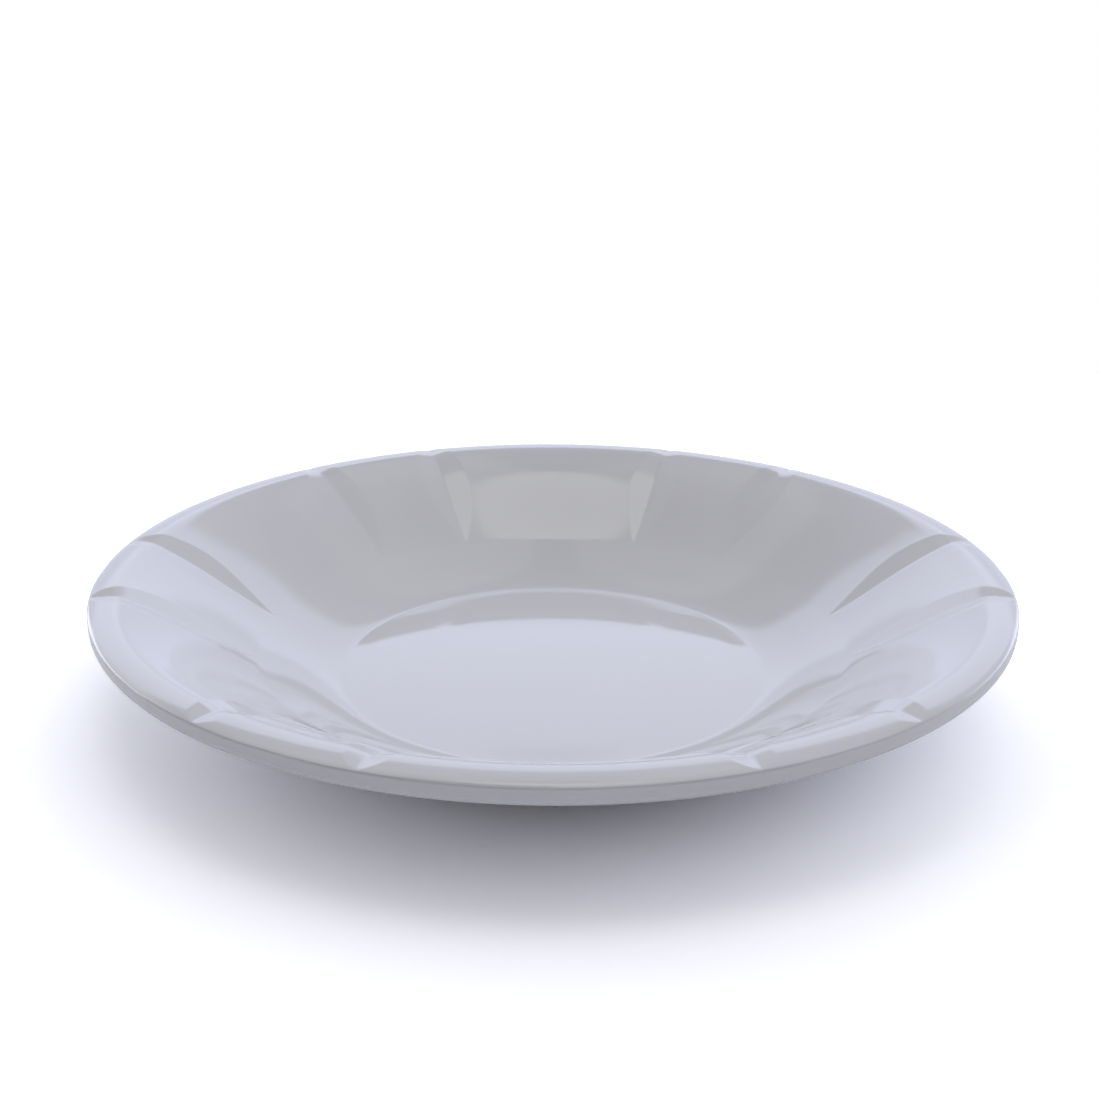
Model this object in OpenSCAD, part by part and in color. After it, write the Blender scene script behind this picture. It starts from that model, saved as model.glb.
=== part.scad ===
// Deep round plate with a panelled rim, moulded in one piece, with a clear glaze on the food side.
// Lengths in mm, +Z up. The origin is the middle of the foot ring's standing face.

/* [Plate] */
// Diameter across the widest line of the rim
plate_d = 230; // [200:1:280]
// Height of the rim's highest line above the table
plate_h = 33; // [29:0.5:40]
// Thickness of the floor, glaze included
floor_t = 3.1; // [2.5:0.1:6]
// Thickness of the wall at the shoulder, glaze included, measured straight up
wall_t = 4.5; // [3.5:0.1:6]
// Thickness of the clear glaze
glaze_t = 0.35; // [0.2:0.05:0.6]

/* [Well] */
// Diameter of the crowned floor inside
floor_d = 110.5; // [96:0.5:118]
// Rise of the floor's middle above its edge
floor_crown = 2.2; // [0:0.1:3]
// Diameter of the line where the bowl meets the wall
ring_d = 151; // [140:1:160]
// Height of that line above the floor's edge
ring_rise = 8.5; // [6:0.1:10]
// Rise per length of the bowl at the floor's edge
bowl_foot_share = 0.16; // [0.1:0.01:0.35]
// Rise per length of the bowl just below the wall
bowl_head_share = 0.5; // [0.35:0.01:0.55]

/* [Rim] */
// Width from the rim's highest line to its widest line
rim_w = 5.7; // [4.5:0.1:8]
// Height of the rim's highest line above the mould's parting line
crest_rise = 1.4; // [1:0.1:2.5]
// Distance of the shoulder, where the wall starts to level out, from the widest line
shoulder_w = 11.5; // [10:0.5:15]
// Drop of the shoulder below the parting line
shoulder_drop = 0.65; // [0.4:0.05:1.5]
// Rise per length of the wall just above the bowl
wall_foot_share = 0.64; // [0.5:0.01:0.75]
// Rise per length of the wall at the shoulder
wall_head_share = 0.47; // [0.35:0.01:0.55]
// Height of the upright band under the parting line
lip_band = 2; // [1:0.1:3]
// Height of the rounding under the band
lip_round_h = 3.3; // [2:0.1:4]
// Width of the rounding under the band
lip_round_w = 4.7; // [3:0.1:6]

/* [Grooves] */
// Depth of each groove at its deepest
groove_depth = 1.15; // [0.6:0.05:1.6]
// Half width of each groove at its deepest
groove_half_w = 6; // [4.5:0.1:7.5]
// Angle that each wide panel spans, the narrow panels take the rest
wide_panel_deg = 39.5; // [34:0.5:44]
// Place of the deepest point between the bowl and the rim's highest line
deepest_share = 0.45; // [0.4:0.01:0.8]
// Depth left where a groove crosses the rim's highest line
crest_depth_share = 0.4; // [0.3:0.01:0.9]
// Height above the parting line at which a groove leaves the rim
groove_exit = 0.25; // [0.1:0.05:0.4]

/* [Foot] */
// Outside diameter of the foot ring's standing face
foot_d = 110; // [96:1:118]
// Width of the foot ring's standing face
foot_w = 4; // [3:0.1:6]
// Height of the foot ring under the floor
foot_h = 1.8; // [1.5:0.1:3.5]
// Width of the slope on each side of the foot ring
foot_slope_w = 1.2; // [0.6:0.1:2]

/* [Hidden] */
$fn = 96;

// Radii
plate_r = plate_d / 2;
crest_r = plate_r - rim_w;
shoulder_r = plate_r - shoulder_w;
ring_r = ring_d / 2;
floor_r = floor_d / 2;
foot_r = foot_d / 2;
foot_inner_r = foot_r - foot_w;

// Heights
parting_z = plate_h - crest_rise;
shoulder_z = parting_z - shoulder_drop;
floor_z = foot_h + floor_t;
ring_z = floor_z + ring_rise;

// Straight steps along each stretch of the outline
floor_steps = 6;
bowl_steps = 6;
wall_steps = 8;
crest_steps = 4;
lip_steps = 6;
groove_steps = 12;

// Groove pattern
sixths = 6;
sixth_deg = 360 / sixths;
quarter_deg = 90;
groove_tilt_deg = atan(groove_depth / groove_half_w);
// Length inside the bowl in which a groove's bottom comes down to the surface
run_in = ring_rise / 3;
// Slope at which its bottom goes on above that surface, in groove depths per length of the groove
run_in_slope_share = 4;
// Half width of a groove's cutter, in groove half widths, as its sides come out a little further on the round wall
cutter_w_share = 1.25;
cutter_half_w = groove_half_w * cutter_w_share;
// Length by which the groove cutters pass the surface that they cut
overrun = rim_w;
// Thickness of the blank from which the glaze is taken, past the deepest groove
blank_t = groove_depth + 2 * glaze_t;

// Height at share t of a curve from height a to height b over width w, rising by p at its start and q at its end
function curve_z(a, b, p, q, w, t) =
    a * (1 + 2 * t) * pow(1 - t, 2)
    + b * t * t * (3 - 2 * t)
    + w * p * t * pow(1 - t, 2)
    - w * q * t * t * (1 - t);

function share_between(a, b, r) = (r - a) / (b - a);

function steps_between(a, b, n) = [for (i = [1 : n]) a + (b - a) * i / n];

function flip(list) = [for (i = [len(list) - 1 : -1 : 0]) list[i]];

// Height of the food side at radius r, out to the rim's highest line
function crown_z(r) = floor_z + floor_crown * (1 - pow(r / floor_r, 2));
function bowl_z(r) = curve_z(floor_z, ring_z, bowl_foot_share, bowl_head_share,
    ring_r - floor_r, share_between(floor_r, ring_r, r));
function wall_z(r) = curve_z(ring_z, shoulder_z, wall_foot_share, wall_head_share,
    shoulder_r - ring_r, share_between(ring_r, shoulder_r, r));
function crest_z(r) = curve_z(shoulder_z, plate_h, wall_head_share, 0,
    crest_r - shoulder_r, share_between(shoulder_r, crest_r, r));
function food_z(r) = r < floor_r ? crown_z(r) : r < ring_r ? bowl_z(r) : r < shoulder_r ? wall_z(r) : crest_z(r);

food_radii = concat(steps_between(0, floor_r, floor_steps), steps_between(floor_r, ring_r, bowl_steps),
    steps_between(ring_r, shoulder_r, wall_steps), steps_between(shoulder_r, crest_r, crest_steps));
// The innermost step is level, so that things set down stand on a flat face
level_z = food_z(food_radii[0]);

// Quarter of an oval from (r, z + h) at step 0 to (r + w, z), in equal angles
function quarter(r, z, w, h, i, n) = [r + w * sin(quarter_deg * i / n), z + h * cos(quarter_deg * i / n)];

// Food side from the middle to the parting line, set back by s
function food_points(s) = concat([[0, level_z - s]], [for (r = food_radii) [r, food_z(r) - s]],
    [for (i = [1 : lip_steps]) quarter(crest_r, parting_z, rim_w - s, crest_rise - s, i, lip_steps)]);

lip_points = flip([for (i = [0 : lip_steps])
    quarter(plate_r - lip_round_w, parting_z - lip_band, lip_round_w, -lip_round_h, i, lip_steps)]);

// Underside of bowl and wall, as thick as the floor at the foot ring and thicker toward the shoulder
foot_root_r = foot_r + foot_slope_w;
function side_t(r) = floor_t + (wall_t - floor_t) * share_between(foot_root_r, shoulder_r, r);
wall_under_points = [for (r = concat(flip(concat([ring_r], steps_between(ring_r, shoulder_r, wall_steps))),
    flip(steps_between(foot_root_r, ring_r, bowl_steps)))) [r, food_z(r) - side_t(r)]];

foot_points = [[foot_root_r, foot_h], [foot_r, 0], [foot_inner_r, 0]];

// Underside of the floor, crowned as its food side is
recess_r = foot_inner_r - foot_slope_w;
floor_under_points = concat([[recess_r, food_z(recess_r) - floor_t]],
    [for (r = flip(food_radii)) if (r < recess_r) [r, food_z(r) - floor_t]],
    [[0, level_z - floor_t]]);

module body_section() {
    polygon(concat(food_points(glaze_t), [[plate_r, parting_z]], lip_points, wall_under_points, foot_points,
        floor_under_points));
}

// Food side skin, thicker than the glaze, so that the body can be taken away from it
module blank_section() {
    polygon(concat(food_points(0), [[plate_r - blank_t, parting_z]],
        [for (r = flip(food_radii)) [r, food_z(r) - blank_t]], [[0, level_z - blank_t]]));
}

// Depth of a groove's bottom at radius r, negative where it runs above the bowl
function groove_share(t) = t < 0 ? run_in_slope_share * t
    : t < deepest_share ? sin(quarter_deg * t / deepest_share)
    : 1 - (1 - crest_depth_share) * pow(share_between(deepest_share, 1, t), 2);
function groove_z(r) = food_z(r) - groove_depth * groove_share(share_between(ring_r, crest_r, r));

exit_z = parting_z + groove_exit;
groove_points = concat(
    [for (r = concat([ring_r - run_in], steps_between(ring_r - run_in, crest_r, groove_steps))) [r, groove_z(r)]],
    [for (i = [1 : lip_steps]) quarter(crest_r, exit_z, rim_w, groove_z(crest_r) - exit_z, i, lip_steps)],
    [[plate_r + overrun, exit_z]]);

// Space over a groove's bottom line, leaning to one side by the groove's tilt
module leaning_space(side, s) {
    top = crest_rise + overrun;
    rotate([side * groove_tilt_deg, 0, 0])
        rotate([quarter_deg, 0, 0])
            linear_extrude(height = 2 * plate_h, center = true)
                polygon(concat(
                    [for (p = groove_points) [p[0], (p[1] - s - parting_z) * cos(groove_tilt_deg)]],
                    [[plate_r + overrun, top], [ring_r - run_in, top]]));
}

// One groove with both sides rising from its bottom line, set back by s, no wider than its cutter
module groove(s) {
    translate([0, 0, parting_z]) {
        intersection() {
            leaning_space(1, s);
            leaning_space(-1, s);
            cube([2 * plate_d, 2 * cutter_half_w, 2 * plate_d], center = true);
        }
    }
}

// All grooves, two at the edges of each wide panel
module grooves(s) {
    for (i = [0 : sixths - 1], side = [-1, 1]) {
        rotate([0, 0, quarter_deg + i * sixth_deg + side * wide_panel_deg / 2]) groove(s);
    }
}

// The white plate that the first pressing makes
module moulded_body() {
    color([0.80, 0.81, 0.85]) {
        difference() {
            rotate_extrude() body_section();
            grooves(glaze_t);
        }
    }
}

// The clear skin that the second pressing puts on the food side
module food_side_glaze() {
    color([0.86, 0.87, 0.90, 0.4]) {
        difference() {
            rotate_extrude() blank_section();
            moulded_body();
            grooves(0);
        }
    }
}

moulded_body();
food_side_glaze();
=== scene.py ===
import math

import bpy
import numpy as np
from bpy.props import FloatProperty, FloatVectorProperty, PointerProperty
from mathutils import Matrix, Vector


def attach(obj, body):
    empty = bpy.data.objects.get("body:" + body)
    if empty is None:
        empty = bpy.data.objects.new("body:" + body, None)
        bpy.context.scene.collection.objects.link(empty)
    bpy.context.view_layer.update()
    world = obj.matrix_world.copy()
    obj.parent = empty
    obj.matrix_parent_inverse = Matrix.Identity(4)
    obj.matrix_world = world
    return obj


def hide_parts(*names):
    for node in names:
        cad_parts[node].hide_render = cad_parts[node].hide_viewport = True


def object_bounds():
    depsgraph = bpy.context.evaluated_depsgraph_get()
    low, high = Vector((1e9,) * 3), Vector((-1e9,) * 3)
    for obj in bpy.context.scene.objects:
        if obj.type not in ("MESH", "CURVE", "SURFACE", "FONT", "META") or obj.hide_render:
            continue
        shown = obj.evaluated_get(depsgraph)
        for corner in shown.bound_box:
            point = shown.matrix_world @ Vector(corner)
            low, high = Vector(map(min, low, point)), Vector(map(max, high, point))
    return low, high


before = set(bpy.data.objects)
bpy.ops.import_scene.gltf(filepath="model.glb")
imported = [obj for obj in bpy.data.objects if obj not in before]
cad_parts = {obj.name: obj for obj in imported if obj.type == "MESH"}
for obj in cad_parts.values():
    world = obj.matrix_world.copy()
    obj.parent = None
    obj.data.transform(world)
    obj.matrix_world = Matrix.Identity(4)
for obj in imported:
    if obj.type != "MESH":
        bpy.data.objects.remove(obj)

bl_info = {
    "name": "Melamine Deep Plate",
    "version": (1, 0, 0),
    "blender": (4, 5, 0),
    "location": "3D View > Sidebar > Plate",
    "description": "Builds a glossy deep plate with a panelled rim, its studio and its camera",
    "category": "Add Mesh",
}

MM = 0.001
SIXTHS = 6
CAD_LOW, CAD_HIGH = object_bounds()
PLATE_R = (CAD_HIGH.x - CAD_LOW.x) / 2
PLATE_H = CAD_HIGH.z - CAD_LOW.z


# Colours

def linear(hex_colour):
    """Linear red, green and blue of an sRGB hex value: each byte to a share of one, then the sRGB
    curve undone."""
    shares = [int(hex_colour[i:i + 2], 16) / 255 for i in (1, 3, 5)]
    return tuple(s / 12.92 if s <= 0.04045 else ((s + 0.055) / 1.055) ** 2.4 for s in shares)


# Sizes and colours that a user would change

def length(name, description, value_mm):
    """A length property, given in millimetres and kept in metres."""
    return FloatProperty(name=name, description=description, default=value_mm * MM,
                         unit="LENGTH", precision=4)


def share(name, description, value):
    """A plain number, such as a slope or a share of a length."""
    return FloatProperty(name=name, description=description, default=value)


def colour(name, description, hex_colour):
    """A colour property, given as an sRGB hex value."""
    return FloatVectorProperty(name=name, description=description, default=linear(hex_colour),
                               subtype="COLOR", size=3, min=0, max=1)


class PlateWell(bpy.types.PropertyGroup):
    floor_r: length("Floor radius", "Radius of the crowned floor inside", 55.25)
    ring_r: length("Ring radius", "Radius of the line where the bowl meets the wall", 75.5)
    floor_z: length("Floor height", "Height of the floor's edge above the table", 4.9)
    crown: length("Floor crown", "Rise of the floor's middle above its edge", 2.2)
    floor_t: length("Floor thickness", "Thickness of the floor", 3.1)
    ring_rise: length("Ring rise", "Height of the ring above the floor's edge", 8.5)
    wall_t: length("Wall thickness", "Thickness of the wall at the shoulder, measured straight up", 4.5)
    glaze_t: length("Glaze thickness", "Thickness of the clear glaze", 0.35)
    crease_w: length("Crease width", "Width over which the creases of the well are rounded", 1.6)
    bowl_foot: share("Bowl foot slope", "Rise per length of the bowl at the floor's edge", 0.16)
    bowl_head: share("Bowl head slope", "Rise per length of the bowl just below the wall", 0.5)
    wall_foot: share("Wall foot slope", "Rise per length of the wall just above the bowl", 0.6)
    wall_head: share("Wall head slope", "Rise per length of the wall at the shoulder", 0.44)


class PlateRim(bpy.types.PropertyGroup):
    rim_w: length("Rim width", "Width from the highest line to the widest line", 5.7)
    crest_rise: length("Crest rise", "Height of the highest line above the parting line", 1.4)
    shoulder_w: length("Shoulder place", "Distance of the shoulder from the widest line", 11.5)
    shoulder_drop: length("Shoulder drop", "Drop of the shoulder below the parting line", 0.65)
    lip_band: length("Lip band", "Height of the upright band under the parting line", 2.0)
    lip_round_h: length("Lip rounding height", "Height of the rounding under the band", 3.3)
    lip_round_w: length("Lip rounding width", "Width of the rounding under the band", 4.7)
    seam: length("Parting seam", "Size of the fine seam at the parting line", 0.06)


class PlateGrooves(bpy.types.PropertyGroup):
    depth: length("Depth", "Depth of a groove at its deepest", 1.2)
    half_w: length("Half width", "Half width of a groove at its deepest", 6.0)
    valley_round: length("Valley rounding", "Half width over which the bottom is rounded", 0.35)
    edge_round: length("Edge rounding", "Height over which a groove's edge is rounded", 0.06)
    run_in: length("Run in", "Length in which a groove's bottom comes down to the bowl", 2.83)
    exit_rise: length("Exit rise", "Height above the parting line at which a groove leaves the rim", 0.25)
    half_panel: FloatProperty(name="Half panel", description="Half the angle that a wide panel spans",
                              default=math.radians(19.75), subtype="ANGLE", unit="ROTATION")
    deepest: share("Deepest place", "Place of the deepest point between bowl and crest", 0.68)
    crest_depth: share("Crest depth", "Share of the depth left at the rim's crest", 0.72)
    run_in_slope: share("Run-in slope", "Slope of a groove's bottom above the bowl, in depths", 4.0)


class PlateFoot(bpy.types.PropertyGroup):
    foot_r: length("Foot radius", "Outside radius of the standing face", 55)
    foot_w: length("Foot width", "Width of the standing face", 4)
    foot_h: length("Foot height", "Height of the foot ring", 1.8)
    slope_w: length("Slope width", "Width of the slope on each side of the foot ring", 1.2)
    edge_w: length("Edge rounding", "Width over which the foot's edges are rounded", 0.8)


class PlateFinish(bpy.types.PropertyGroup):
    body_colour: colour("Moulding", "Colour of the white moulding compound", "#CDCDD0")
    glaze_colour: colour("Glazed face", "Colour of the moulding seen through its glaze", "#CDCDD0")


class PlateStudio(bpy.types.PropertyGroup):
    table_colour: colour("Table", "Colour of the table under the plate", "#F4F4F6")
    table_r: length("Table radius", "Radius of the table", 4000)
    lens: FloatProperty(name="Lens", description="Focal length on a 36 mm sensor", default=50.62 * MM,
                        subtype="DISTANCE_CAMERA", unit="CAMERA")


# Outline of the plate

# Steps of the outline from the middle to the crest
OUTLINE_STEPS = 4400
# Columns round the plate: the angle on each side of a groove that has fine steps, and both steps
GROOVE_REACH = math.radians(4.8)
GROOVE_STEP = math.radians(0.24)
PANEL_STEP = math.radians(1.6)


def rise_curve(low, high, foot, head, width, t):
    """Cubic from height low to high over a width, t from 0 to 1, rising by foot per length at 0 and
    head at 1."""
    return (low * (1 + 2 * t) * (1 - t) ** 2 + high * t * t * (3 - 2 * t)
            + width * foot * t * (1 - t) ** 2 - width * head * t * t * (1 - t))


def food_outline(well, rim):
    """Radii and heights of the food side from the middle to the crest, in fine steps.

    A floor crowned as a parabola, a cubic bowl, a cubic wall and a cubic shoulder follow each other. A
    moving average over the crease width rounds the creases between them, and the last crease width
    before the crest stays as it is.
    """
    crest_r = PLATE_R - rim.rim_w
    shoulder_r = PLATE_R - rim.shoulder_w
    parting_z = PLATE_H - rim.crest_rise
    ring_z = well.floor_z + well.ring_rise
    shoulder_z = parting_z - rim.shoulder_drop
    r = np.linspace(0, crest_r, OUTLINE_STEPS)
    bowl = rise_curve(well.floor_z, ring_z, well.bowl_foot, well.bowl_head, well.ring_r - well.floor_r,
                      (r - well.floor_r) / (well.ring_r - well.floor_r))
    wall = rise_curve(ring_z, shoulder_z, well.wall_foot, well.wall_head, shoulder_r - well.ring_r,
                      (r - well.ring_r) / (shoulder_r - well.ring_r))
    crest = rise_curve(shoulder_z, PLATE_H, well.wall_head, 0, crest_r - shoulder_r,
                       (r - shoulder_r) / (crest_r - shoulder_r))
    floor = well.floor_z + well.crown * (1 - (r / well.floor_r) ** 2)
    z = np.select([r < well.floor_r, r < well.ring_r, r < shoulder_r], [floor, bowl, wall], crest)
    half = int(round(well.crease_w / 2 / (r[1] - r[0])))
    window = np.ones(2 * half + 1) / (2 * half + 1)
    smooth = np.convolve(np.pad(z, half, mode="edge"), window, "valid")
    return r, np.where(r > crest_r - well.crease_w, z, smooth)


def groove_share(grooves, t):
    """Share of the full depth at place t, 0 at the bowl and 1 at the crest: a sine up to the deepest
    place, then a parabola down to the crest's share. Before the bowl it is negative, so the bottom runs
    out upwards."""
    rising = np.sin(np.pi / 2 * np.clip(t / grooves.deepest, 0, 1))
    past = np.clip((t - grooves.deepest) / (1 - grooves.deepest), 0, None)
    falling = 1 - (1 - grooves.crest_depth) * past ** 2
    return np.select([t < 0, t < grooves.deepest], [grooves.run_in_slope * t, rising], falling)


def groove_angles(grooves, azimuths):
    """Angle of each azimuth from the middle of its nearest groove. Wide panels are centred on every
    sixth turn."""
    sixth = 2 * np.pi / SIXTHS
    inside = (azimuths - np.pi / 2 + sixth / 2) % sixth - sixth / 2
    return np.abs(inside) - grooves.half_panel


def cut_grooves(plate, radii, azimuths, heights_at):
    """Heights of the food side on the grid of radii and azimuths, with the grooves cut in.

    A groove's bottom follows the outline, lowered by its depth. Its two sides rise from the bottom at one
    slope, which is depth over half width. The lower one of side and outline is the surface, joined by a
    smooth minimum.
    """
    grooves, rim, well = plate.plate_grooves, plate.plate_rim, plate.plate_well
    crest_r = PLATE_R - rim.rim_w
    off = groove_angles(grooves, azimuths)[None, :]
    r = radii[:, None]
    across = r * np.sin(off)
    along = r * np.cos(off)
    across = np.sqrt(across ** 2 + grooves.valley_round ** 2) - grooves.valley_round
    t = (along - well.ring_r) / (crest_r - well.ring_r)
    plain = heights_at(radii)[:, None] + 0 * off
    exit_z = PLATE_H - rim.crest_rise + grooves.exit_rise
    over = np.clip((along - crest_r) / rim.rim_w, 0, 1)
    crest_bottom = PLATE_H - grooves.depth * grooves.crest_depth
    on_wall = heights_at(np.minimum(along, crest_r)) - grooves.depth * groove_share(grooves, t)
    on_rim = exit_z + (crest_bottom - exit_z) * np.sqrt(1 - over ** 2)
    bottom = np.where(along < crest_r, on_wall, on_rim)
    side = bottom + across * grooves.depth / grooves.half_w
    soft = grooves.edge_round
    evened = soft * np.log(2) * np.exp(-np.abs(side - plain) / soft)
    lower = -soft * np.logaddexp(-plain / soft, -side / soft) + evened
    return np.where(r > well.ring_r - grooves.run_in, np.minimum(lower, plain), plain)


def azimuth_columns(grooves):
    """Azimuths round the plate, in fine steps near each groove and in wide steps on the panels."""
    sixth = 2 * np.pi / SIXTHS
    start, end = grooves.half_panel - GROOVE_REACH, grooves.half_panel + GROOVE_REACH
    middle = np.linspace(0, start, max(2, int(start / PANEL_STEP)))
    groove = np.linspace(start, end, 2 * int(GROOVE_REACH / GROOVE_STEP) + 1)
    edge = np.linspace(end, sixth / 2, max(2, int((sixth / 2 - end) / PANEL_STEP)))
    # Rounded, so that the ends that two stretches share are one column
    half = np.unique(np.round(np.concatenate([middle, groove, edge]), 9))
    sector = np.unique(np.round(np.concatenate([-half[:-1], half]), 9))[:-1]
    return (np.pi / 2 + np.arange(SIXTHS)[:, None] * sixth + sector[None, :]).ravel()


# Meshes

def revolved_mesh(name, radii, heights, azimuths):
    """Closed mesh of rings round the Z axis, joined by quads, with a pole at each end.

    radii is one radius a ring and heights one height a ring and azimuth. The first ring is the pole on
    top and the last ring is the pole below, so the order outwards and anticlockwise gives faces that
    point outwards.
    """
    rings, around = len(radii) - 2, len(azimuths)
    r = radii[1:-1, None]
    ring_points = np.stack([r * np.cos(azimuths), r * np.sin(azimuths), heights[1:-1]], axis=-1)
    poles = np.array([[0, 0, heights[0].mean()], [0, 0, heights[-1].mean()]])
    points = np.concatenate([ring_points.reshape(-1, 3), poles])
    step = np.arange(around)
    following = (step + 1) % around
    first = np.arange(rings - 1)[:, None] * around
    quads = np.stack([first + step, first + around + step, first + around + following, first + following],
                     axis=-1).reshape(-1, 4)
    top, below = rings * around, rings * around + 1
    last = (rings - 1) * around
    top_fan = np.stack([np.full(around, top), step, following], axis=-1)
    below_fan = np.stack([np.full(around, below), last + following, last + step], axis=-1)
    mesh = bpy.data.meshes.new(name)
    mesh.vertices.add(len(points))
    mesh.vertices.foreach_set("co", points.ravel())
    corners = np.concatenate([quads.ravel(), top_fan.ravel(), below_fan.ravel()])
    totals = np.concatenate([np.full(len(quads), 4), np.full(2 * around, 3)])
    starts = np.concatenate([[0], np.cumsum(totals)[:-1]])
    mesh.loops.add(len(corners))
    mesh.loops.foreach_set("vertex_index", corners)
    mesh.polygons.add(len(totals))
    mesh.polygons.foreach_set("loop_start", starts)
    mesh.polygons.foreach_set("use_smooth", np.ones(len(totals), bool))
    mesh.update(calc_edges=True)
    mesh.validate()
    return mesh


def place(mesh, name, material):
    """Object of the mesh at the origin, with its material."""
    piece = bpy.data.objects.new(name, mesh)
    mesh.materials.append(material)
    bpy.context.scene.collection.objects.link(piece)
    return piece


# Rings on floor, bowl, wall, shoulder and rim
BODY_RINGS = (5, 12, 34, 10, 10)
GLAZE_RINGS = (14, 18, 54, 16, 20)
GLAZE_BACK_RINGS = (5, 4, 12, 4, 5)
# Rings on the lip's rounding, under bowl and wall, and under the floor
LIP_RINGS = 22
UNDER_RINGS = 44
RECESS_RINGS = 9
# Places of the foot's rings, as shares of its slope outside and inside, and of half its edge's rounding
# outwards and upwards
FOOT_SLOPE_OUTSIDE = 0.3
FOOT_SLOPE_INSIDE = 0.6
FOOT_EDGE_OUT = 0.2
FOOT_EDGE_UP = 0.35


def food_rings(plate, counts):
    """Ring radii of the food side and their heights on all azimuths, from the middle to the parting line.

    counts are the rings on floor, bowl, wall, shoulder and rim. The rim is a quarter of an oval, in equal
    angles. A function that gives the plain height at a radius comes with them.
    """
    well, rim, grooves = plate.plate_well, plate.plate_rim, plate.plate_grooves
    crest_r = PLATE_R - rim.rim_w
    shoulder_r = PLATE_R - rim.shoulder_w
    outline_r, outline_z = food_outline(well, rim)
    parting_z = PLATE_H - rim.crest_rise
    azimuths = azimuth_columns(grooves)
    half = well.crease_w / 2
    floor_n, bowl_n, wall_n, shoulder_n, rim_n = counts
    crease_n = bowl_n // 4
    marks = [0, well.floor_r - half, well.floor_r + half, well.ring_r - half, well.ring_r + half,
             shoulder_r, crest_r]
    spans = [floor_n, crease_n, bowl_n, crease_n, wall_n, shoulder_n]
    stretches = [np.linspace(a, b, n, endpoint=False) for a, b, n in zip(marks, marks[1:], spans)]
    rim_r = crest_r + rim.rim_w * np.sin(np.linspace(0, np.pi / 2, rim_n))
    radii = np.concatenate([*stretches, rim_r])

    def heights_at(r):
        inner = np.interp(r, outline_r, outline_z)
        over = np.clip((r - crest_r) / rim.rim_w, 0, 1)
        return np.where(r < crest_r, inner, parting_z + rim.crest_rise * np.sqrt(1 - over ** 2))

    return radii, cut_grooves(plate, radii, azimuths, heights_at), azimuths, heights_at


def bonded_rings(plate, counts):
    """The rings of the face between moulding and glaze: the food side set back by the glaze, and nowhere
    under the parting line on the rim."""
    well, rim = plate.plate_well, plate.plate_rim
    radii, heights, azimuths, heights_at = food_rings(plate, counts)
    crest_r = PLATE_R - rim.rim_w
    over = np.clip((radii - crest_r) / rim.rim_w, 0, 1)
    radii = radii - well.glaze_t * over
    ledge = np.where(radii > crest_r, PLATE_H - rim.crest_rise, 0)[:, None]
    return radii, np.maximum(heights - well.glaze_t, ledge), azimuths, heights_at


def moulded_body_mesh(plate):
    """The white moulding: food side under the glaze, ledge at the parting line, band, rounding, wall and
    foot."""
    well, rim, foot = plate.plate_well, plate.plate_rim, plate.plate_foot
    parting_z = PLATE_H - rim.crest_rise
    radii, heights, azimuths, heights_at = bonded_rings(plate, BODY_RINGS)
    shoulder_r = PLATE_R - rim.shoulder_w
    band_r = [PLATE_R - rim.seam, PLATE_R, PLATE_R]
    band_z = [parting_z, parting_z - rim.seam, parting_z - rim.lip_band / 2]
    angle = np.linspace(0, np.pi / 2, LIP_RINGS)
    lip_r = PLATE_R - rim.lip_round_w + rim.lip_round_w * np.cos(angle)
    lip_z = parting_z - rim.lip_band - rim.lip_round_h * np.sin(angle)
    root_r = foot.foot_r + foot.slope_w
    under_r = np.linspace(shoulder_r, root_r, UNDER_RINGS)
    thickness = well.floor_t + (well.wall_t - well.floor_t) * (under_r - root_r) / (shoulder_r - root_r)
    under_z = heights_at(under_r) - thickness
    inner_r = foot.foot_r - foot.foot_w
    edge = foot.edge_w / 2
    foot_r = [foot.foot_r + foot.slope_w * FOOT_SLOPE_OUTSIDE, foot.foot_r + edge * FOOT_EDGE_OUT,
              foot.foot_r - edge, inner_r + edge,
              inner_r - edge * FOOT_EDGE_OUT, inner_r - foot.slope_w * FOOT_SLOPE_INSIDE]
    foot_z = [foot.foot_h * FOOT_SLOPE_OUTSIDE, edge * FOOT_EDGE_UP, 0, 0,
              edge * FOOT_EDGE_UP, foot.foot_h * FOOT_SLOPE_INSIDE]
    recess_r = np.linspace(inner_r - foot.slope_w - edge, 0, RECESS_RINGS)
    recess_z = heights_at(recess_r) - well.floor_t
    outer_r = np.concatenate([band_r, lip_r, under_r, foot_r, recess_r])
    outer_z = np.concatenate([band_z, lip_z, under_z, foot_z, recess_z])
    all_r = np.concatenate([radii, outer_r])
    all_z = np.concatenate([heights, outer_z[:, None] + 0 * azimuths[None, :]])
    return revolved_mesh("moulded_plate", all_r, all_z, azimuths)


def glaze_mesh(plate):
    """The clear skin: the whole food side above, ending at the parting line, and the face on the moulding
    below."""
    rim = plate.plate_rim
    parting_z = PLATE_H - rim.crest_rise
    radii, heights, azimuths, _ = food_rings(plate, GLAZE_RINGS)
    edge_r = np.array([PLATE_R - rim.seam])
    edge_z = np.array([parting_z])
    heights[-1] = parting_z + rim.seam
    back_r, back_z, _, _ = bonded_rings(plate, GLAZE_BACK_RINGS)
    all_r = np.concatenate([radii, edge_r, back_r[::-1]])
    all_z = np.concatenate([heights, edge_z[:, None] + 0 * azimuths[None, :], back_z[::-1]])
    return revolved_mesh("glazed_face", all_r, all_z, azimuths)


# Materials

def add_node(tree, kind, settings=(), inputs=(), links=()):
    """Adds one node. settings are (attribute, value), inputs are (socket, value), and links are
    (socket, output)."""
    node = tree.nodes.new(kind)
    for name, value in settings:
        setattr(node, name, value)
    for socket, value in inputs:
        node.inputs[socket].default_value = value
    for socket, output in links:
        tree.links.new(output, node.inputs[socket])
    return node


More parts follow.
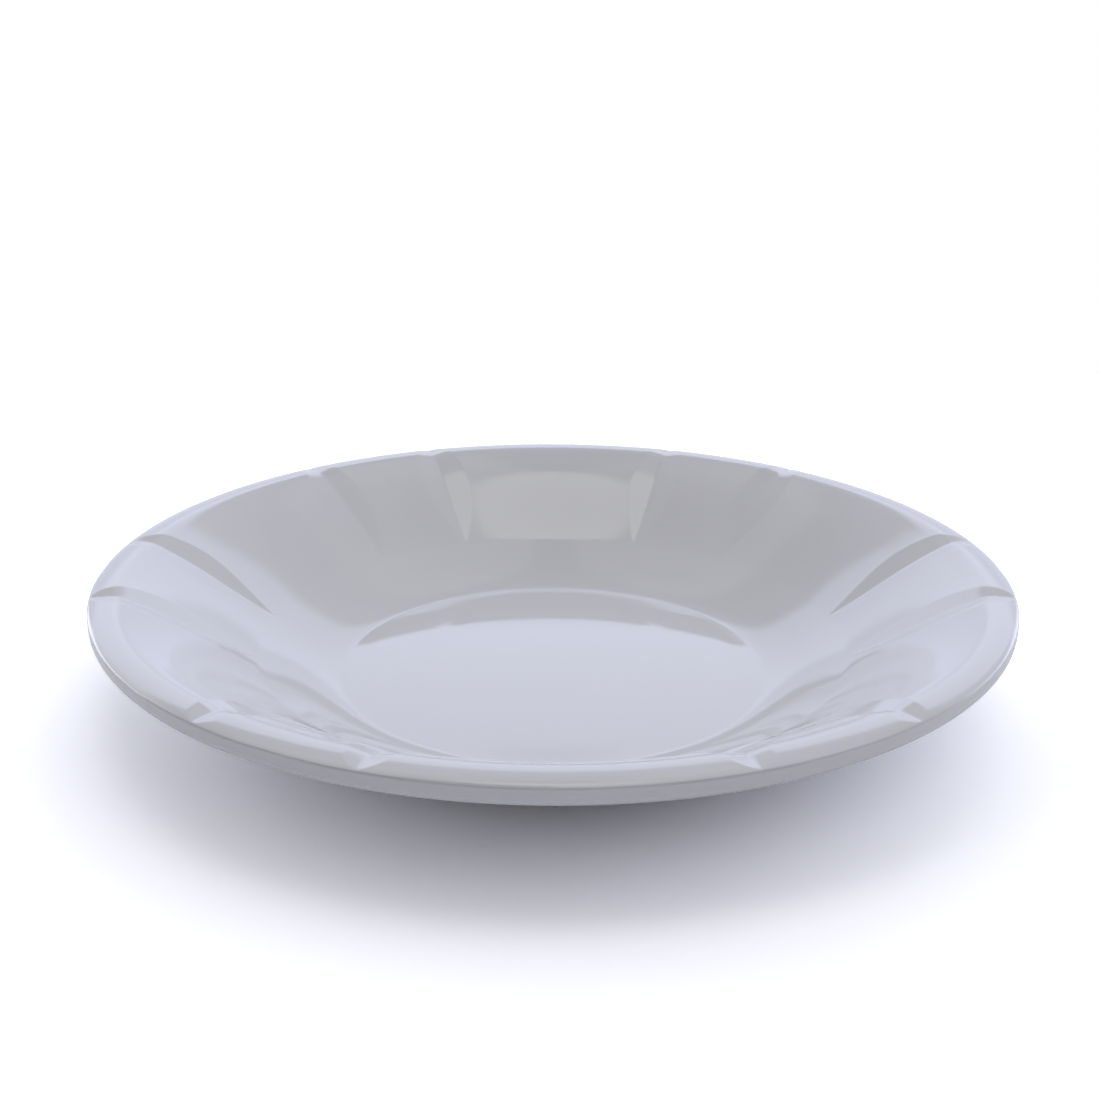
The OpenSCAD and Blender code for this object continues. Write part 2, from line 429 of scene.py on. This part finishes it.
def new_tree(owner):
    """Empties the node tree of a material or world and returns it."""
    owner.use_nodes = True
    owner.node_tree.nodes.clear()
    return owner.node_tree


# Refractive index, roughly that of melamine resin
MELAMINE_IOR = 1.6
# Length of the filler's clouds, and their darkest shade as a share of the colour
CLOUD_LENGTH = 14 * MM
CLOUD_SHADE_SHARE = 0.985
# Roughness of the glaze, from its smoothest to its roughest cloud
GLAZE_ROUGHNESS = (0.03, 0.06)
# The moulding is polished above the first height and worn matt below the second
POLISHED_ABOVE = 0.25 * MM
WORN_BELOW = 0.05 * MM
POLISHED_ROUGHNESS = 0.1
WORN_ROUGHNESS = 0.5


def clouded_filler(tree, place_of, filler):
    """The nodes of the filler's hardly visible clouds: their noise, and the colour that it mixes."""
    cloud = add_node(tree, "ShaderNodeTexNoise", inputs=(("Scale", 1 / CLOUD_LENGTH), ("Detail", 3)),
                     links=(("Vector", place_of.outputs["Object"]),))
    shade = [c * CLOUD_SHADE_SHARE for c in filler]
    tint = add_node(tree, "ShaderNodeMix", settings=(("data_type", "RGBA"),),
                    inputs=((6, (*shade, 1)), (7, (*filler, 1))), links=(("Factor", cloud.outputs["Fac"]),))
    return cloud, tint


def pressed_ripple(tree, place_of, ripple_length, detail, strength, ripple_h):
    """The faint waves that the mould leaves, which bend the reflections a little."""
    wave = add_node(tree, "ShaderNodeTexNoise", inputs=(("Scale", 1 / ripple_length), ("Detail", detail)),
                    links=(("Vector", place_of.outputs["Object"]),))
    return add_node(tree, "ShaderNodeBump", inputs=(("Strength", strength), ("Distance", ripple_h)),
                    links=(("Height", wave.outputs["Fac"]),))


def glazed_melamine(finish):
    """White melamine moulding seen through its clear glaze.

    Melamine comes off the polished mould like a mirror. What the eye gets is a faint waviness of the
    reflections, a few millimetres long, and a hardly visible cloudiness of the filler.
    """
    material = bpy.data.materials.new("clear melamine glaze, pressed over white moulding")
    tree = new_tree(material)
    place_of = add_node(tree, "ShaderNodeTexCoord")
    cloud, tint = clouded_filler(tree, place_of, finish.glaze_colour)
    bump = pressed_ripple(tree, place_of, ripple_length=9 * MM, detail=1, strength=0.35, ripple_h=0.02 * MM)
    smoothest, roughest = GLAZE_ROUGHNESS
    rough = add_node(tree, "ShaderNodeMapRange", inputs=(("To Min", smoothest), ("To Max", roughest)),
                     links=(("Value", cloud.outputs["Fac"]),))
    shader = add_node(tree, "ShaderNodeBsdfPrincipled", inputs=(("IOR", MELAMINE_IOR),),
                      links=(("Base Color", tint.outputs[2]), ("Roughness", rough.outputs["Result"]),
                             ("Normal", bump.outputs["Normal"])))
    add_node(tree, "ShaderNodeOutputMaterial", links=(("Surface", shader.outputs["BSDF"]),))
    return material


def moulded_melamine(finish):
    """White melamine as it comes out of the first pressing: glossy, a little softer than the glaze, and
    worn matt on the standing face, where the foot ring rubs on the table."""
    material = bpy.data.materials.new("white melamine, compression moulded")
    tree = new_tree(material)
    place_of = add_node(tree, "ShaderNodeTexCoord")
    _, tint = clouded_filler(tree, place_of, finish.body_colour)
    bump = pressed_ripple(tree, place_of, ripple_length=7 * MM, detail=2, strength=0.4, ripple_h=0.03 * MM)
    axes = add_node(tree, "ShaderNodeSeparateXYZ", links=(("Vector", place_of.outputs["Object"]),))
    worn = add_node(tree, "ShaderNodeMapRange",
                    inputs=(("From Min", POLISHED_ABOVE), ("From Max", WORN_BELOW),
                            ("To Min", POLISHED_ROUGHNESS), ("To Max", WORN_ROUGHNESS)),
                    links=(("Value", axes.outputs["Z"]),))
    shader = add_node(tree, "ShaderNodeBsdfPrincipled", inputs=(("IOR", MELAMINE_IOR),),
                      links=(("Base Color", tint.outputs[2]), ("Roughness", worn.outputs["Result"]),
                             ("Normal", bump.outputs["Normal"])))
    add_node(tree, "ShaderNodeOutputMaterial", links=(("Surface", shader.outputs["BSDF"]),))
    return material


# Studio

BLUISH = "#E0E5FF"
PALE = "#F0F2FF"
NEUTRAL = "#FFFFFF"

# Soft patches of light round the plate: azimuth of the middle from the far side toward the right, half width,
# lowest and highest elevation, all in degrees, softness of the edges in degrees, brightness, tint.
# The low front stays dark, which keeps the shadow in front of the plate.
STUDIO_PATCHES = {
    "back sweep": (0, 35, -5, 18, 4, 1.2, BLUISH),
    "upper sweep": (0, 35, 18, 36, 4, 1.8, BLUISH),
    "right low lamp": (55, 20, -5, 18, 6, 3, BLUISH),
    "left low lamp": (-55, 20, -5, 18, 6, 3.5, PALE),
    "right of sweep": (55, 20, 18, 36, 6, 1.2, BLUISH),
    "left of sweep": (-55, 20, 18, 36, 6, 1.5, PALE),
    "above sweep": (0, 10, 36, 77, 4, 0.6, PALE),
    "right flag": (43, 33, 36, 50, 4, 0.6, NEUTRAL),
    "left flag": (-43, 33, 36, 50, 4, 0.4, NEUTRAL),
    "above right flag": (43, 33, 50, 77, 4, 0.9, NEUTRAL),
    "above left flag": (-43, 33, 50, 77, 4, 0.8, NEUTRAL),
    "overhead": (0, 181, 77, 92, 4, 2, NEUTRAL),
    "right side": (100, 25, 36, 77, 6, 1.3, NEUTRAL),
    "left side": (-100, 25, 36, 77, 6, 1, NEUTRAL),
    "low right side": (100, 25, -5, 36, 6, 0.5, NEUTRAL),
    "low left side": (-100, 25, -5, 36, 6, 0.2, NEUTRAL),
    "front right": (152, 28, 36, 77, 6, 1.1, PALE),
    "camera side": (178, 22, 15, 60, 6, 0.4, NEUTRAL),
}


def ramp(tree, value, low, high):
    """Smooth step from 0 where value is low to 1 where it is high."""
    return add_node(tree, "ShaderNodeMapRange", settings=(("interpolation_type", "SMOOTHSTEP"),),
                    inputs=(("From Min", low), ("From Max", high)), links=((0, value),)).outputs[0]


def maths(tree, operation, *values):
    """Adds one maths node with these sockets and numbers as its values, and returns its result."""
    node = add_node(tree, "ShaderNodeMath", settings=(("operation", operation),))
    for index, value in enumerate(values):
        if isinstance(value, (int, float)):
            node.inputs[index].default_value = value
        else:
            tree.links.new(value, node.inputs[index])
    return node.outputs[0]


def studio_world(scene):
    """World whose light comes from soft patches by direction, and which the camera sees as plain white."""
    world = bpy.data.worlds.new("studio")
    scene.world = world
    tree = new_tree(world)
    way = add_node(tree, "ShaderNodeTexCoord")
    axes = add_node(tree, "ShaderNodeSeparateXYZ", links=(("Vector", way.outputs["Generated"]),))
    elevation = maths(tree, "ARCSINE", axes.outputs["Z"])
    azimuth = maths(tree, "ARCTAN2", axes.outputs["X"], axes.outputs["Y"])
    total = add_node(tree, "ShaderNodeCombineXYZ").outputs[0]
    for middle, half, low, high, soft, level, tint in STUDIO_PATCHES.values():
        turned = maths(tree, "SUBTRACT", azimuth, math.radians(middle))
        away = maths(tree, "ABSOLUTE", maths(tree, "WRAP", turned, math.pi, -math.pi))
        edge = math.radians(soft) / 2
        across = ramp(tree, away, math.radians(half) + edge, math.radians(half) - edge)
        above = ramp(tree, elevation, math.radians(low) - edge, math.radians(low) + edge)
        below = ramp(tree, elevation, math.radians(high) + edge, math.radians(high) - edge)
        patch = maths(tree, "MULTIPLY", maths(tree, "MULTIPLY", across, above), below)
        light = [level * c for c in linear(tint)]
        total = add_node(tree, "ShaderNodeVectorMath", settings=(("operation", "MULTIPLY_ADD"),),
                         inputs=((1, light),), links=((0, patch), (2, total))).outputs[0]
    lit = add_node(tree, "ShaderNodeBackground", links=(("Color", total),))
    white = add_node(tree, "ShaderNodeBackground", inputs=(("Color", (1, 1, 1, 1)), ("Strength", 1)))
    path = add_node(tree, "ShaderNodeLightPath")
    seen = add_node(tree, "ShaderNodeMixShader",
                    links=((0, path.outputs["Is Camera Ray"]), (1, lit.outputs[0]), (2, white.outputs[0])))
    add_node(tree, "ShaderNodeOutputWorld", links=(("Surface", seen.outputs[0]),))


# Factor by which the camera sees the table brighter, and the distances in metres from the plate's middle
# between which it goes over into plain white
TABLE_GAIN = 1.6
TABLE_FADE = (0.2, 0.45)
TABLE_SIDES = 96


def table_material(studio):
    """Matt white paper table. The camera sees it brighter than the plate does, so that it is white where
    nothing shades it, and it goes over into plain white further out."""
    material = bpy.data.materials.new("white paper table")
    tree = new_tree(material)
    path = add_node(tree, "ShaderNodeLightPath")
    brighter = [c * TABLE_GAIN for c in studio.table_colour]
    gain = add_node(tree, "ShaderNodeMix", settings=(("data_type", "RGBA"),),
                    inputs=((6, (*studio.table_colour, 1)), (7, (*brighter, 1))),
                    links=(("Factor", path.outputs["Is Camera Ray"]),))
    paper = add_node(tree, "ShaderNodeBsdfDiffuse", links=(("Color", gain.outputs[2]),))
    glow = add_node(tree, "ShaderNodeEmission", inputs=(("Strength", 1.0),))
    place_of = add_node(tree, "ShaderNodeTexCoord")
    far = add_node(tree, "ShaderNodeVectorMath", settings=(("operation", "LENGTH"),),
                   links=((0, place_of.outputs["Object"]),))
    outside = ramp(tree, far.outputs["Value"], *TABLE_FADE)
    fade = maths(tree, "MULTIPLY", outside, path.outputs["Is Camera Ray"])
    seen = add_node(tree, "ShaderNodeMixShader",
                    links=((0, fade), (1, paper.outputs[0]), (2, glow.outputs[0])))
    add_node(tree, "ShaderNodeOutputMaterial", links=(("Surface", seen.outputs[0]),))
    return material


# Camera, from the photograph's outline, grooves and rings. Its turn is in radians, and the width of its
# sensor in millimetres.
CAMERA_PLACE = (-4.72 * MM, -370.77 * MM, 172 * MM)
CAMERA_TURN = (1.222094, -0.003571, -0.009343)
SENSOR_W = 36


class PLATE_OT_moulded_body(bpy.types.Operator):
    """Build the white moulding"""
    bl_idname = "plate.moulded_body"
    bl_label = "Moulded Body"

    def execute(self, context):
        scene = context.scene
        piece = place(moulded_body_mesh(scene), "moulded_plate", moulded_melamine(scene.plate_finish))
        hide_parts("moulded_body")
        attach(piece, "root")
        return {"FINISHED"}


class PLATE_OT_food_side_glaze(bpy.types.Operator):
    """Build the clear skin on the food side"""
    bl_idname = "plate.food_side_glaze"
    bl_label = "Food Side Glaze"

    def execute(self, context):
        scene = context.scene
        piece = place(glaze_mesh(scene), "glazed_face", glazed_melamine(scene.plate_finish))
        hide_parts("food_side_glaze")
        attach(piece, "root")
        return {"FINISHED"}


class PLATE_OT_studio(bpy.types.Operator):
    """Build the table, the light and the camera"""
    bl_idname = "plate.studio"
    bl_label = "Studio"

    def execute(self, context):
        scene = context.scene
        studio = scene.plate_studio
        angle = np.linspace(0, 2 * np.pi, TABLE_SIDES, endpoint=False)
        ring = np.stack([np.cos(angle), np.sin(angle), 0 * angle], axis=-1) * studio.table_r
        mesh = bpy.data.meshes.new("table")
        mesh.from_pydata(ring.tolist(), [], [list(range(len(ring)))])
        table = place(mesh, "table", table_material(studio))
        studio_world(scene)
        lens = bpy.data.cameras.new("camera")
        lens.lens = studio.lens / MM
        lens.sensor_width = SENSOR_W
        camera = bpy.data.objects.new("camera", lens)
        camera.location = CAMERA_PLACE
        camera.rotation_euler = CAMERA_TURN
        scene.collection.objects.link(camera)
        scene.camera = camera
        scene.view_settings.view_transform = "Standard"
        return {"FINISHED"}


class PLATE_PT_panel(bpy.types.Panel):
    """Sizes, colours and steps of the plate"""
    bl_label = "Deep Plate"
    bl_space_type = "VIEW_3D"
    bl_region_type = "UI"
    bl_category = "Plate"

    def draw(self, context):
        for group in GROUPS:
            box = self.layout.box()
            owner = getattr(context.scene, group)
            for name in owner.__annotations__:
                box.prop(owner, name)
        for step in STEPS:
            self.layout.operator("plate." + step)


GROUPS = {
    "plate_well": PlateWell,
    "plate_rim": PlateRim,
    "plate_grooves": PlateGrooves,
    "plate_foot": PlateFoot,
    "plate_finish": PlateFinish,
    "plate_studio": PlateStudio,
}
STEPS = ("moulded_body", "food_side_glaze", "studio")
CLASSES = (*GROUPS.values(), PLATE_OT_moulded_body, PLATE_OT_food_side_glaze, PLATE_OT_studio, PLATE_PT_panel)


def register():
    for cls in CLASSES:
        bpy.utils.register_class(cls)
    for name, group in GROUPS.items():
        setattr(bpy.types.Scene, name, PointerProperty(type=group))


def unregister():
    for name in GROUPS:
        delattr(bpy.types.Scene, name)
    for cls in reversed(CLASSES):
        bpy.utils.unregister_class(cls)


def main():
    register()
    for step in STEPS:
        getattr(bpy.ops.plate, step)()


if __name__ == "__main__":
    main()
